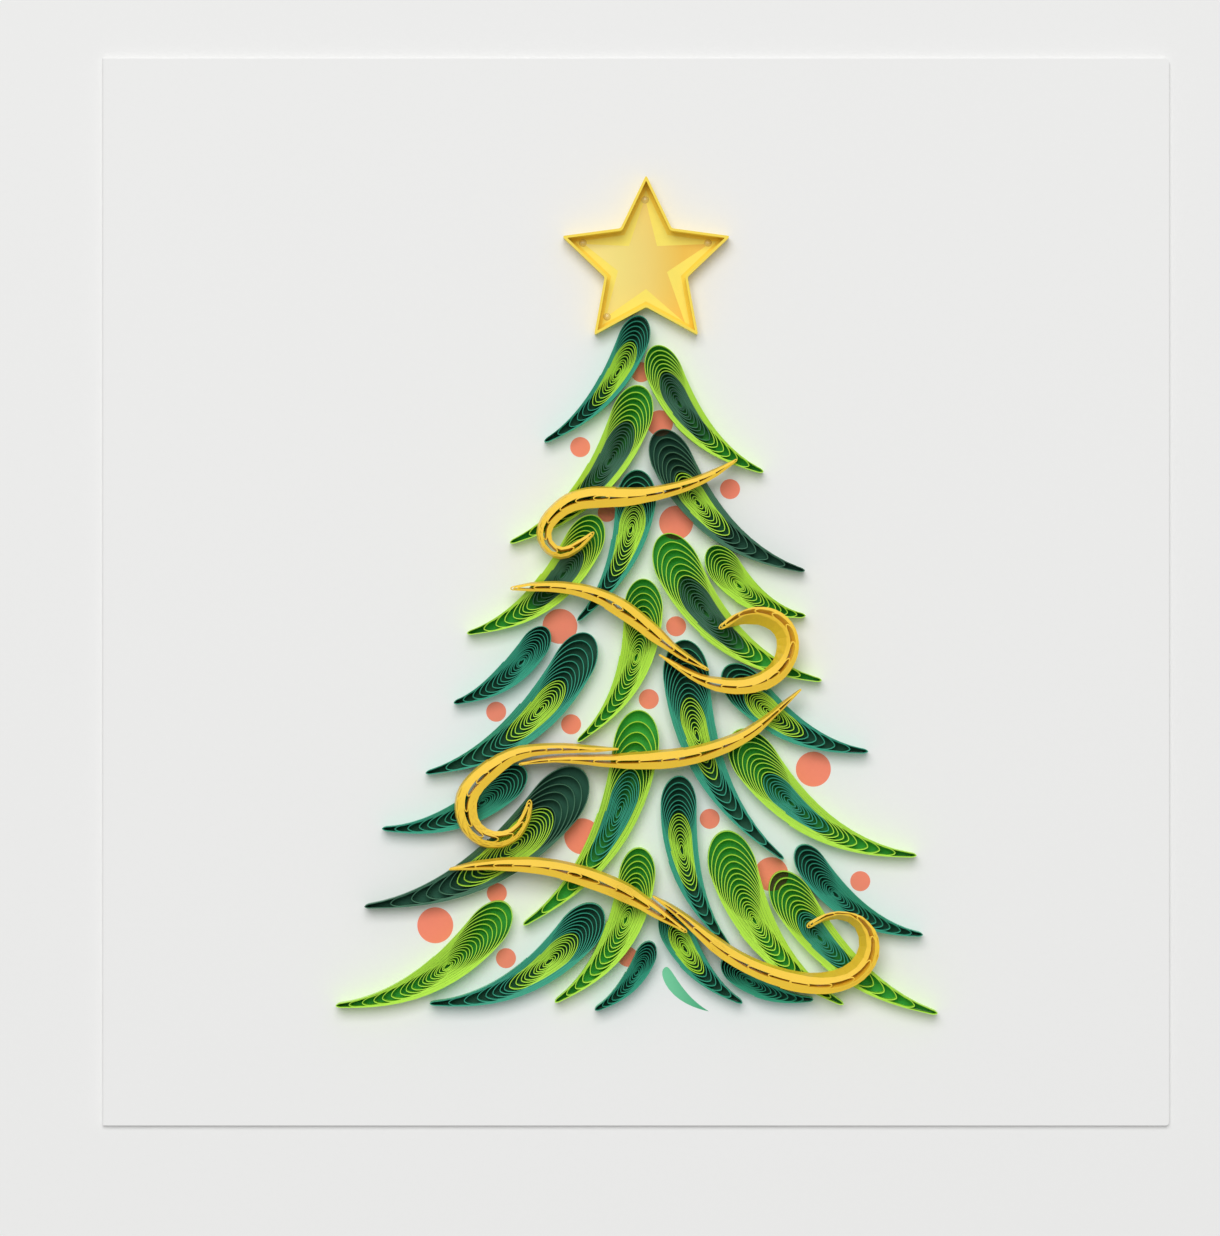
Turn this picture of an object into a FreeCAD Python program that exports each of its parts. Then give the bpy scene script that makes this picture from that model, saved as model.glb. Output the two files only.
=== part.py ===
import FreeCAD, Part
import math
import os
import Sketcher

# A square greeting card with a fir tree worked in wound paper strips on its front.
# The card is one folded sheet and lies on its back, face up (+Z), top of the picture towards +Y.
# The origin is the middle of the card's back.  Each leaf is one strip of paper on edge, wound
# loosely and pinched into a teardrop: its turns lie packed along both sides and stand apart at the
# round head and at the pinched tail.  Garlands are longer coils that lie on top of the leaves, and
# the star is one strip bent to a five-pointed outline.

doc = FreeCAD.newDocument("quilled_card")
sheet = doc.addObject("Spreadsheet::Sheet", "sizes")

# Driving sizes in millimetres, with what each one is.
GENERAL_SIZES = [
    ("card_side", 152.4, "side of the square card"),
    ("card_stock", 0.4, "thickness of the card stock"),
    ("fold_gap", 0.12, "gap between the two closed panels"),
    ("corner_radius", 0.5, "rounded corners of both panels"),
    ("leaf_height", 3.0, "width of the paper strip that a leaf is wound from"),
    ("garland_height", 3.0, "width of the garland strip"),
    ("wall", 0.32, "turns that lie together between two gaps"),
    ("side_pack", 0.27, "width that each further turn adds along a side"),
    ("tail_half", 0.3, "half the width of a pinched tail"),
    ("head_round", 0.8, "length of a leaf's round head, as a part of its width"),
    ("middle_place", 0.41, "where a coil's innermost turn lies, as a part of the leaf's length"),
    ("bend_place", 0.54, "where a leaf's middle line bends most, as a part of its length"),
    ("star_x", 1.5, "middle of the star, across"),
    ("star_y", 46.75, "middle of the star, up the card"),
    ("star_radius", 12.6, "star, middle to the tips"),
    ("star_notch", 6.2, "star, middle to the notches"),
    ("star_strip", 0.35, "thickness of the star's strip"),
    ("star_height", 3.0, "width of the star's strip"),
    ("star_tip", 0.45, "how far the star's tips are blunted"),
]

# Each leaf: top of the head, end of the tail, greatest width, how far the middle line bows out of
# the straight line between them, always to the lower side, and the part of its length over which
# it stays at full width.
LEAF_SIZES = {
    "leaf_01": (0.8, 39.3, -13.0, 21.4, 4.5, 2.45, 0.12),
    "leaf_02": (2.8, 35.1, 18.2, 17.1, 5.3, 3.05, 0.15),
    "leaf_03": (0.7, 29.4, -17.9, 7.0, 6.0, 3.8, 0.09),
    "leaf_04": (3.4, 23.1, 24.1, 3.0, 6.0, 3.9, 0.08),
    "leaf_05": (0.2, 17.4, -8.3, -4.1, 6.1, 2.6, 0.02),
    "leaf_06": (-5.7, 10.9, -24.0, -5.9, 5.6, 3.4, 0.22),
    "leaf_07": (4.1, 8.3, 26.5, -12.6, 6.7, 4.5, 0.06),
    "leaf_08": (10.8, 6.5, 24.2, -3.4, 4.9, 2.3, 0.11),
    "leaf_09": (0.9, 1.9, -8.3, -21.3, 5.7, 3.5, 0.12),
    "leaf_10": (-12.8, -5.0, -25.9, -15.8, 4.1, 1.9, 0.27),
    "leaf_11": (-6.7, -5.9, -29.9, -25.8, 6.0, 4.0, 0.24),
    "leaf_12": (7.0, -6.8, 21.1, -38.0, 6.7, 4.3, 0.07),
    "leaf_13": (13.0, -10.5, 33.1, -22.7, 5.9, 2.8, 0.02),
    "leaf_14": (-15.9, -25.0, -36.1, -33.7, 4.7, 2.6, 0.15),
    "leaf_15": (0.5, -16.8, -16.0, -47.4, 6.6, 4.6, 0.14),
    "leaf_16": (14.4, -19.7, 40.0, -37.5, 6.8, 4.35, 0.02),
    "leaf_17": (-7.8, -25.2, -38.6, -44.8, 7.7, 4.55, 0.1),
    "leaf_18": (6.4, -26.2, 13.5, -50.6, 5.2, 2.9, 0.17),
    "leaf_19": (12.7, -34.0, 29.6, -58.7, 7.2, 3.85, 0.02),
    "leaf_20": (20.2, -39.9, 43.0, -60.0, 6.0, 3.45, 0.07),
    "leaf_21": (23.4, -36.1, 40.9, -48.8, 4.3, 2.9, 0.23),
    "leaf_22": (0.5, -36.4, -11.5, -58.4, 5.3, 3.5, 0.25),
    "leaf_23": (-18.4, -44.3, -42.7, -58.9, 5.7, 3.6, 0.1),
    "leaf_24": (-5.3, -44.6, -29.3, -58.6, 6.2, 3.8, 0.02),
    "leaf_25": (2.2, -49.8, -5.8, -59.5, 3.1, 1.4, 0.21),
    "leaf_26": (4.5, -45.1, 15.2, -58.5, 4.8, 1.8, 0.08),
    "leaf_27": (12.5, -52.3, 25.3, -58.0, 3.6, 1.6, 0.08),
}
LEAF_WORDS = ("head_x", "head_y", "tail_x", "tail_y", "width", "bow", "full")

# Garlands: points of the middle line from end to end, each with half the band's width there.
GARLANDS = {
    "garland_top": [
        (14.4, 18.8, 0.3), (10.0, 16.3, 0.75), (6.0, 14.8, 0.95), (2.0, 13.9, 1.15),
        (-2.0, 13.5, 1.45), (-6.0, 13.4, 1.55), (-9.0, 12.8, 1.4), (-11.5, 11.1, 1.2),
        (-13.0, 8.7, 1.1), (-12.5, 6.6, 0.95), (-10.6, 5.5, 0.85), (-8.5, 6.3, 0.7),
        (-5.9, 8.5, 0.3),
    ],
    "garland_second_stem": [
        (-17.8, 0.45, 0.4), (-14.0, 0.75, 0.75), (-10.0, 0.6, 0.9), (-6.0, -0.3, 1.1),
        (-2.0, -2.3, 1.35), (2.0, -5.3, 1.2), (6.0, -8.5, 0.7), (10.4, -11.1, 0.25),
    ],
    "garland_second_curl": [
        (3.3, -8.9, 0.2), (6.0, -10.6, 0.45), (9.0, -12.3, 0.75), (12.0, -13.2, 1.1),
        (15.0, -13.4, 1.2), (18.0, -12.7, 1.3), (20.4, -10.9, 1.4), (21.6, -8.0, 1.55),
        (21.2, -5.6, 1.5), (19.4, -3.9, 1.45), (17.0, -3.4, 1.25), (14.5, -3.9, 0.85),
        (11.8, -5.2, 0.35),
    ],
    "garland_third_stem": [
        (23.5, -13.8, 0.2), (20.0, -16.9, 0.5), (16.0, -20.1, 0.95), (12.0, -22.0, 1.2),
        (8.0, -23.2, 1.3), (4.0, -23.8, 1.35), (0.0, -24.0, 1.2), (-4.0, -24.0, 0.9),
        (-8.0, -23.8, 0.65), (-12.0, -23.8, 0.45), (-16.6, -24.5, 0.2),
    ],
    "garland_third_curl": [
        (-2.4, -22.3, 0.2), (-6.0, -22.3, 0.5), (-10.0, -22.2, 0.75), (-14.0, -22.4, 0.85),
        (-17.5, -23.2, 1.1), (-20.2, -24.9, 1.4), (-22.5, -26.9, 1.5), (-23.9, -29.0, 1.6),
        (-24.1, -31.2, 1.6), (-23.4, -33.3, 1.5), (-21.7, -34.8, 1.4), (-19.6, -35.2, 1.25),
        (-17.4, -34.5, 1.0), (-15.8, -32.5, 0.75), (-15.0, -29.5, 0.4),
    ],
    "garland_bottom_stem": [
        (-26.5, -39.4, 0.25), (-22.0, -38.8, 0.7), (-18.0, -38.7, 1.0), (-14.0, -38.9, 1.2),
        (-10.0, -39.6, 1.3), (-6.0, -40.8, 1.4), (-2.0, -42.4, 1.35), (2.0, -44.7, 1.0),
        (7.3, -48.3, 0.3),
    ],
    "garland_bottom_curl": [
        (2.4, -43.2, 0.2), (5.5, -45.2, 0.55), (8.5, -47.7, 0.85), (12.0, -50.6, 1.2),
        (16.0, -53.0, 1.25), (20.0, -54.6, 1.35), (24.0, -55.5, 1.4), (28.0, -55.4, 1.5),
        (31.1, -54.1, 1.5), (32.9, -51.8, 1.5), (33.1, -49.3, 1.35), (32.0, -47.2, 1.0),
        (29.6, -46.0, 0.65), (26.8, -46.3, 0.55), (24.3, -47.6, 0.4),
    ],
}

row = 0


def add_size(word, value, note=""):
    """Writes one driving size into the next row of the sheet."""
    global row
    row += 1
    sheet.set("A%d" % row, word)
    sheet.set("B%d" % row, str(value))
    sheet.set("C%d" % row, note)
    sheet.setAlias("B%d" % row, word)


for word, value, note in GENERAL_SIZES:
    add_size(word, value, note)
for leaf, values in LEAF_SIZES.items():
    for word, value in zip(LEAF_WORDS, values):
        add_size("%s_%s" % (leaf, word), value)
doc.recompute()


def size(word):
    return float(sheet.get(word))


def plane(body, role):
    """The body's own origin plane with this role."""
    for feature in body.Origin.OriginFeatures:
        if feature.Role == role:
            return feature
    raise ValueError(role)


def new_body(label):
    body = doc.addObject("PartDesign::Body", label)
    body.Label = label
    return body


def new_sketch(body, role, name):
    sketch = body.newObject("Sketcher::SketchObject", name)
    sketch.AttachmentSupport = (plane(body, role), [""])
    sketch.MapMode = "FlatFace"
    return sketch


def draw_loop(sketch, points):
    """A closed loop of straight lines through the points, joined end to end."""
    corners = [FreeCAD.Vector(x, y, 0) for x, y in points]
    first = sketch.GeometryCount
    lines = []
    for start, end in zip(corners, corners[1:] + corners[:1]):
        lines.append(Part.LineSegment(start, end))
    sketch.addGeometry(lines, False)
    joints = []
    for i in range(len(lines)):
        after = first + (i + 1) % len(lines)
        joints.append(Sketcher.Constraint("Coincident", first + i, 2, after, 1))
    sketch.addConstraint(joints)


def pad(body, sketch, height):
    """Raises the sketch by a height from the sheet."""
    feature = body.newObject("PartDesign::Pad", body.Label + "_pad")
    feature.Profile = sketch
    feature.setExpression("Length", "sizes." + height)
    sketch.Visibility = False
    body.Tip = feature
    return feature


# Card: one sheet folded once on the left, drawn as its section and drawn out over the side length.

CARD_TOP = "sizes.card_stock * 2 + sizes.fold_gap"


def build_card():
    body = new_body("card")
    section = new_sketch(body, "XZ_Plane", "card_section")
    stock = size("card_stock")
    gap = size("fold_gap")
    half = size("card_side") / 2
    outer = stock + gap / 2
    fold_x = -half + outer
    v = FreeCAD.Vector
    middle = v(fold_x, outer, 0)
    up = v(0, 0, 1)
    heights = (0, stock, stock + gap, 2 * stock + gap)
    for z in heights:
        section.addGeometry(Part.LineSegment(v(fold_x, z, 0), v(half, z, 0)), False)
    section.addGeometry(Part.LineSegment(v(half, heights[0], 0), v(half, heights[1], 0)), False)
    section.addGeometry(Part.LineSegment(v(half, heights[2], 0), v(half, heights[3], 0)), False)
    turn = (math.pi / 2, 3 * math.pi / 2)
    section.addGeometry(Part.ArcOfCircle(Part.Circle(middle, up, outer), *turn), False)
    section.addGeometry(Part.ArcOfCircle(Part.Circle(middle, up, gap / 2), *turn), False)
    back, back_in, front_in, front, back_edge, front_edge, bend_out, bend_in = range(8)
    constraints = [
        ("Coincident", back, 2, back_edge, 1), ("Coincident", back_edge, 2, back_in, 2),
        ("Coincident", front_in, 2, front_edge, 1), ("Coincident", front_edge, 2, front, 2),
        ("Tangent", front, 1, bend_out, 1), ("Tangent", bend_out, 2, back, 1),
        ("Tangent", front_in, 1, bend_in, 1), ("Tangent", bend_in, 2, back_in, 1),
        ("Horizontal", back), ("Horizontal", front),
        ("Vertical", back_edge), ("Vertical", front_edge),
        ("Coincident", bend_in, 3, bend_out, 3),
        ("Vertical", back_edge, 2, front_edge, 1),
    ]
    for constraint in constraints:
        section.addConstraint(Sketcher.Constraint(*constraint))
    ruled = [
        ("DistanceY", (back_edge, 1, back_edge, 2), stock, "sizes.card_stock"),
        ("DistanceY", (front_edge, 1, front_edge, 2), stock, "sizes.card_stock"),
        ("DistanceY", (back_edge, 2, front_edge, 1), gap, "sizes.fold_gap"),
        ("DistanceX", (-1, 1, back_edge, 1), half, "sizes.card_side / 2"),
        ("DistanceX", (bend_out, 3, -1, 1), -fold_x,
         "sizes.card_side / 2 - sizes.card_stock - sizes.fold_gap / 2"),
        ("DistanceY", (-1, 1, bend_out, 3), outer, "sizes.card_stock + sizes.fold_gap / 2"),
    ]
    for kind, places, value, rule in ruled:
        number = section.addConstraint(Sketcher.Constraint(kind, *places, value))
        section.setExpression("Constraints[%d]" % number, rule)
    sheet_of_card = pad(body, section, "card_side")
    sheet_of_card.Midplane = True
    doc.recompute()
    corners = []
    for i, edge in enumerate(sheet_of_card.Shape.Edges, 1):
        box = edge.BoundBox
        upright = box.ZLength > 0.5 * stock and box.XLength < 1e-6 and box.YLength < 1e-6
        if upright and box.XMin > half - 0.01:
            corners.append("Edge%d" % i)
    rounded = body.newObject("PartDesign::Fillet", "card_corners")
    rounded.Base = (sheet_of_card, corners)
    rounded.setExpression("Radius", "sizes.corner_radius")
    body.Tip = rounded
    return body


# Leaf coil, in its own frame: head at the origin, tail straight down -Y, middle line bowed to +X.

HEAD_STEPS = (0, 28, 56, 80)
TURN_STEPS = (-60, -30, 0, 30, 60)
LONG_LEAF = 32


class Leaf:
    """The teardrop that a strip of paper is pinched into, and the gaps between its turns."""

    def __init__(self, name):
        head_x, head_y, tail_x, tail_y, self.width, bow, self.full = (
            size("%s_%s" % (name, word)) for word in LEAF_WORDS)
        self.chord = math.hypot(tail_x - head_x, tail_y - head_y)
        self.bow = bow if tail_x < head_x else -bow
        self.bend = size("bend_place")
        self.tail = size("tail_half")
        self.wall = size("wall")
        self.pack = size("side_pack")
        self.centre = size("middle_place")
        self.cap = size("head_round") * self.width
        self.lengths = [0]
        before = self.middle(0)
        for i in range(1, 61):
            after = self.middle(i / 60)
            self.lengths.append(self.lengths[-1] + math.dist(before, after))
            before = after
        self.length = self.lengths[-1]
        self.head_count = 5 if self.length > LONG_LEAF else 4
        self.tail_count = self.head_count - 1

    def middle(self, u):
        """A point of the middle line, a parabola that bends most at its bend place."""
        x = 4 * self.bow * u * (1 - u)
        y = -self.chord * (2 * self.bend * u * (1 - u) + u * u)
        return x, y

    def place(self, down, aside):
        """The point this far along the bowed middle line and this far aside from it."""
        i = 0
        while i < 59 and self.lengths[i + 1] < down:
            i += 1
        part = (down - self.lengths[i]) / (self.lengths[i + 1] - self.lengths[i])
        start = self.middle(i / 60)
        end = self.middle((i + 1) / 60)
        run = math.dist(start, end)
        along = ((end[0] - start[0]) / run, (end[1] - start[1]) / run)
        x = start[0] + (end[0] - start[0]) * part
        y = start[1] + (end[1] - start[1]) * part
        return x - along[1] * aside, y + along[0] * aside

    def half_width(self, down):
        """Half the leaf's width at a way down its middle line, past the round head."""
        u = (down / self.length - self.full) / (1 - self.full)
        taper = (1 - max(0, u) ** 2) ** 1.5 if u < 1 else 0
        return self.tail + (self.width / 2 - self.tail) * taper

    def outline(self):
        """Head as half an ellipse, then both sides down to the pinched tail."""
        side = []
        for angle in HEAD_STEPS:
            turn = math.radians(angle)
            down = self.cap * (1 - math.cos(turn))
            side.append((down, self.half_width(down) * math.sin(turn)))
        for i in range(7):
            down = self.cap * 1.2 + (self.length - self.cap * 1.2) * i / 6
            side.append((down, self.half_width(down)))
        right = [self.place(down, aside) for down, aside in side]
        left = [self.place(down, -aside) for down, aside in reversed(side[1:])]
        return right + left

    def turn_reach(self, down, turn):
        """Half the width that is left inside a number of turns, at a way down the middle line."""
        return self.half_width(down) - self.wall - self.pack * turn

    def head_gaps(self):
        """Crescents between the arcs that the turns make at the head."""
        room = self.centre * self.length - self.wall
        gaps = []
        top = self.wall
        for k in range(self.head_count):
            pitch = room * (1.3 - 0.6 * k / (self.head_count - 1)) / self.head_count
            bottom = top + pitch - self.wall
            arcs = []
            for apex, turn in ((top, k), (bottom, k + 1)):
                arc = []
                for angle in TURN_STEPS:
                    swing = math.radians(angle)
                    down = apex + self.round_length(turn) * (1 - math.cos(swing))
                    arc.append((down, self.turn_reach(down, k) * math.sin(swing)))
                arcs.append(arc)
            end = bottom + self.round_length(k + 1)
            reach = self.turn_reach(end, k)
            gap = [(end, -reach)] + arcs[0] + [(end, reach)] + arcs[1][::-1]
            gaps.append([self.place(down, aside) for down, aside in gap])
            top = bottom + self.wall
        return gaps

    def round_length(self, turn):
        """How long the round head of a turn is."""
        return 1.5 * (self.width / 2 - self.wall - self.pack * turn)

    def tail_gaps(self):
        """Narrow arrowheads between the turns that are pinched into the tail."""
        gaps = []
        apex = 0.95 * self.length
        room = apex - self.centre * self.length - self.round_length(self.head_count) - 1.5
        for k in range(self.tail_count):
            pitch = room * (1.3 - 0.6 * k / (self.tail_count - 1)) / self.tail_count
            notch = apex - pitch + self.wall
            shoulder = notch - 0.7 - 0.2 * k
            reach = self.turn_reach(shoulder, 0.6 * k)
            gap = [(apex, 0), (shoulder, reach), (notch, 0), (shoulder, -reach)]
            gaps.append([self.place(down, aside) for down, aside in gap])
            apex = apex - pitch
        return gaps


def build_leaf(name):
    body = new_body(name)
    leaf = Leaf(name)
    sketch = new_sketch(body, "XY_Plane", name + "_turns")
    for loop in [leaf.outline()] + leaf.head_gaps() + leaf.tail_gaps():
        draw_loop(sketch, loop)
    pad(body, sketch, "leaf_height")
    run = "(sizes.%s_tail_x - sizes.%s_head_x)" % (name, name)
    fall = "(sizes.%s_head_y - sizes.%s_tail_y)" % (name, name)
    body.setExpression("Placement.Base.x", "sizes.%s_head_x" % name)
    body.setExpression("Placement.Base.y", "sizes.%s_head_y" % name)
    body.setExpression("Placement.Base.z", CARD_TOP)
    body.setExpression("Placement.Rotation.Angle", "atan2(%s; %s)" % (run, fall))
    return body


# Garland: a long coil whose turns lie packed into a band, open in a row of slits down the middle.

def build_garland(name, route):
    body = new_body(name)
    curve = Part.BSplineCurve()
    curve.interpolate([FreeCAD.Vector(x, y, 0) for x, y, half in route])
    marks = [curve.parameter(FreeCAD.Vector(x, y, 0)) for x, y, half in route]
    halves = [half for x, y, half in route]

    def half_width(u):
        for i in range(len(marks) - 1):
            if u <= marks[i + 1]:
                break
        part = (u - marks[i]) / (marks[i + 1] - marks[i])
        ease = part * part * (3 - 2 * part)
        return halves[i] + (halves[i + 1] - halves[i]) * ease

    def place(u, aside):
        point = curve.value(u)
        along = curve.tangent(u)[0]
        return point.x - along.y * aside, point.y + along.x * aside

    stations = []
    for start, end in zip(marks, marks[1:]):
        turn = curve.tangent(start)[0].getAngle(curve.tangent(end)[0])
        steps = math.ceil(turn / math.radians(20))
        stations += [start + (end - start) * i / steps for i in range(steps)]
    stations.append(marks[-1])
    left = [place(u, half_width(u)) for u in stations]
    right = [place(u, -half_width(u)) for u in reversed(stations)]
    sketch = new_sketch(body, "XY_Plane", name + "_turns")
    draw_loop(sketch, left + right)
    wall = size("wall")
    first = marks[0]
    last = marks[-1]
    slits = max(4, round(curve.length() / 7))
    for k in range(slits):
        start = first + (last - first) * (0.06 + 0.88 * k / slits)
        end = start + (last - first) * 0.88 / slits * 0.8
        middle = (start + end) / 2
        open_half = 0.5 * half_width(middle) - 0.5 * wall
        if open_half < 0.08:
            continue
        gap = [place(start, 0), place(middle, open_half), place(end, 0), place(middle, -open_half)]
        draw_loop(sketch, gap)
    pad(body, sketch, "garland_height")
    body.setExpression("Placement.Base.z", CARD_TOP + " + sizes.leaf_height")
    return body


# Star: one strip on edge, bent at five tips and five notches, standing on the card.

def star_corners(inset):
    """Corners of the star, every side moved inwards by the inset."""
    corners = []
    for i in range(10):
        radius = size("star_notch") if i % 2 else size("star_radius")
        turn = math.radians(90 + 36 * i)
        corners.append(FreeCAD.Vector(radius * math.cos(turn), radius * math.sin(turn), 0))
    side = corners[1] - corners[0]
    middle_to_side = abs(corners[0].cross(corners[1]).z) / side.Length
    shrink = 1 - inset / middle_to_side
    return [corner * shrink for corner in corners]


def blunted(corners, width):
    """The same corners with each tip cut across, where the strip is bent round it."""
    points = []
    for i, corner in enumerate(corners):
        if i % 2:
            points.append(corner)
            continue
        for notch in (corners[i - 1], corners[i + 1]):
            points.append(corner + (notch - corner).normalize() * width)
    return points


def build_star():
    body = new_body("star")
    sketch = new_sketch(body, "XY_Plane", "star_strip")
    outer = blunted(star_corners(0), size("star_tip"))
    inner = star_corners(size("star_strip"))
    for corners in (outer, inner):
        draw_loop(sketch, [(corner.x, corner.y) for corner in corners])
    pad(body, sketch, "star_height")
    body.setExpression("Placement.Base.x", "sizes.star_x")
    body.setExpression("Placement.Base.y", "sizes.star_y")
    body.setExpression("Placement.Base.z", CARD_TOP)
    return body


pieces = [build_card()]
for leaf in LEAF_SIZES:
    pieces.append(build_leaf(leaf))
for garland, route in GARLANDS.items():
    pieces.append(build_garland(garland, route))
pieces.append(build_star())
doc.recompute()

for item in doc.Objects:
    if "Invalid" in item.State or "Error" in item.State:
        raise RuntimeError("failed: " + item.Label)
for piece in pieces:
    if piece.Shape.isNull() or not piece.Shape.isValid() or len(piece.Shape.Solids) != 1:
        raise RuntimeError("bad shape: " + piece.Label)

os.makedirs("parts", exist_ok=True)
for piece in pieces:
    piece.Shape.exportStep("parts/%s.step" % piece.Label)
print("pieces:", len(pieces))
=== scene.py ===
import math
from bisect import bisect_left

import bpy
from bpy.props import FloatProperty, FloatVectorProperty, PointerProperty
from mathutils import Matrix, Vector


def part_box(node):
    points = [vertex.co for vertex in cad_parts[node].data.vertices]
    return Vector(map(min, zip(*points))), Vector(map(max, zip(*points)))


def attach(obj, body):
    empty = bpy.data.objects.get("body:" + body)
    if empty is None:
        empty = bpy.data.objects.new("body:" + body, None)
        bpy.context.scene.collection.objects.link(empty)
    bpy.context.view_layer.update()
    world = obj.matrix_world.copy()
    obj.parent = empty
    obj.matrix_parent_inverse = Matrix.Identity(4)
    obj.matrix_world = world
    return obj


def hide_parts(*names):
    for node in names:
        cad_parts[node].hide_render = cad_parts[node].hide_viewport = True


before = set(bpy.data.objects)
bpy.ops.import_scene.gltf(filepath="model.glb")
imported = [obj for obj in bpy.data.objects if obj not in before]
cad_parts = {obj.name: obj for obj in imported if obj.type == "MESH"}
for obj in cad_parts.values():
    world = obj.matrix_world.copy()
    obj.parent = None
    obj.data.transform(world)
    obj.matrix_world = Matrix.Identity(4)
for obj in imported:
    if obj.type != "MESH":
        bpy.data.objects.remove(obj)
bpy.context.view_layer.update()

bl_info = {
    "name": "Quilled fir tree card",
    "version": (1, 0, 0),
    "blender": (4, 5, 0),
    "location": "View3D > Sidebar > Quilling",
    "description": "Winds the paper coils, print and star of a quilled greeting card",
    "category": "Add Mesh",
}

MM = 0.001
CARD_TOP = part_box("card")[1].z
LEAF_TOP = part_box("leaf_01")[1].z
GARLAND_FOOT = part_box("garland_top")[0].z
GARLAND_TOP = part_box("garland_top")[1].z

# How each leaf is wound: outer paper, inner paper, turns of each, where along the leaf the middle
# of the coil lies, and the part of the head and of the tail that the outer paper takes.
LEAF_PAPERS = {
    "leaf_01": ("teal", "lime", 5, 11, 0.37, 0.42, 0.54),
    "leaf_02": ("lime", "forest", 6, 11, 0.365, 0.44, 0.53),
    "leaf_03": ("lime", "forest", 6, 12, 0.385, 0.45, 0.62),
    "leaf_04": ("forest", "lime", 6, 11, 0.39, 0.56, 0.62),
    "leaf_05": ("teal", "lime", 5, 12, 0.36, 0.48, 0.48),
    "leaf_06": ("lime", "forest", 7, 10, 0.37, 0.53, 0.58),
    "leaf_07": ("lime", "forest", 6, 11, 0.4, 0.52, 0.59),
    "leaf_08": ("lime", "lime", 15, 0, 0.39, 1, 1),
    "leaf_09": ("lime", "lime", 17, 0, 0.43, 1, 1),
    "leaf_10": ("teal", "teal", 14, 0, 0.345, 1, 1),
    "leaf_11": ("teal", "lime", 7, 10, 0.41, 0.56, 0.62),
    "leaf_12": ("teal", "lime", 8, 10, 0.39, 0.56, 0.65),
    "leaf_13": ("teal", "lime", 5, 11, 0.37, 0.48, 0.58),
    "leaf_14": ("teal", "teal", 14, 0, 0.34, 1, 1),
    "leaf_15": ("lime", "teal", 6, 10, 0.41, 0.57, 0.58),
    "leaf_16": ("lime", "teal", 8, 10, 0.4, 0.56, 0.63),
    "leaf_17": ("forest", "lime", 5, 13, 0.385, 0.48, 0.54),
    "leaf_18": ("teal", "lime", 6, 11, 0.405, 0.46, 0.57),
    "leaf_19": ("lime", "lime", 18, 0, 0.435, 1, 1),
    "leaf_20": ("lime", "teal", 7, 10, 0.36, 0.56, 0.68),
    "leaf_21": ("teal", "teal", 15, 0, 0.385, 1, 1),
    "leaf_22": ("lime", "lime", 17, 0, 0.4, 1, 1),
    "leaf_23": ("lime", "lime", 18, 0, 0.42, 1, 1),
    "leaf_24": ("teal", "lime", 7, 11, 0.37, 0.47, 0.6),
    "leaf_25": ("teal", "teal", 12, 0, 0.375, 1, 1),
    "leaf_26": ("teal", "lime", 5, 10, 0.36, 0.32, 0.58),
    "leaf_27": ("teal", "teal", 12, 0, 0.33, 1, 1),
}

# Each leaf's head and tail, width, bow and how far its full width reaches, in millimetres.
LEAF_SIZES = {
    "leaf_01": (0.8, 39.3, -13.0, 21.4, 4.5, 2.45, 0.12),
    "leaf_02": (2.8, 35.1, 18.2, 17.1, 5.3, 3.05, 0.15),
    "leaf_03": (0.7, 29.4, -17.9, 7.0, 6.0, 3.8, 0.09),
    "leaf_04": (3.4, 23.1, 24.1, 3.0, 6.0, 3.9, 0.08),
    "leaf_05": (0.2, 17.4, -8.3, -4.1, 6.1, 2.6, 0.02),
    "leaf_06": (-5.7, 10.9, -24.0, -5.9, 5.6, 3.4, 0.22),
    "leaf_07": (4.1, 8.3, 26.5, -12.6, 6.7, 4.5, 0.06),
    "leaf_08": (10.8, 6.5, 24.2, -3.4, 4.9, 2.3, 0.11),
    "leaf_09": (0.9, 1.9, -8.3, -21.3, 5.7, 3.5, 0.12),
    "leaf_10": (-12.8, -5.0, -25.9, -15.8, 4.1, 1.9, 0.27),
    "leaf_11": (-6.7, -5.9, -29.9, -25.8, 6.0, 4.0, 0.24),
    "leaf_12": (7.0, -6.8, 21.1, -38.0, 6.7, 4.3, 0.07),
    "leaf_13": (13.0, -10.5, 33.1, -22.7, 5.9, 2.8, 0.02),
    "leaf_14": (-15.9, -25.0, -36.1, -33.7, 4.7, 2.6, 0.15),
    "leaf_15": (0.5, -16.8, -16.0, -47.4, 6.6, 4.6, 0.14),
    "leaf_16": (14.4, -19.7, 40.0, -37.5, 6.8, 4.35, 0.02),
    "leaf_17": (-7.8, -25.2, -38.6, -44.8, 7.7, 4.55, 0.1),
    "leaf_18": (6.4, -26.2, 13.5, -50.6, 5.2, 2.9, 0.17),
    "leaf_19": (12.7, -34.0, 29.6, -58.7, 7.2, 3.85, 0.02),
    "leaf_20": (20.2, -39.9, 43.0, -60.0, 6.0, 3.45, 0.07),
    "leaf_21": (23.4, -36.1, 40.9, -48.8, 4.3, 2.9, 0.23),
    "leaf_22": (0.5, -36.4, -11.5, -58.4, 5.3, 3.5, 0.25),
    "leaf_23": (-18.4, -44.3, -42.7, -58.9, 5.7, 3.6, 0.1),
    "leaf_24": (-5.3, -44.6, -29.3, -58.6, 6.2, 3.8, 0.02),
    "leaf_25": (2.2, -49.8, -5.8, -59.5, 3.1, 1.4, 0.21),
    "leaf_26": (4.5, -45.1, 15.2, -58.5, 4.8, 1.8, 0.08),
    "leaf_27": (12.5, -52.3, 25.3, -58.0, 3.6, 1.6, 0.08),
}

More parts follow.
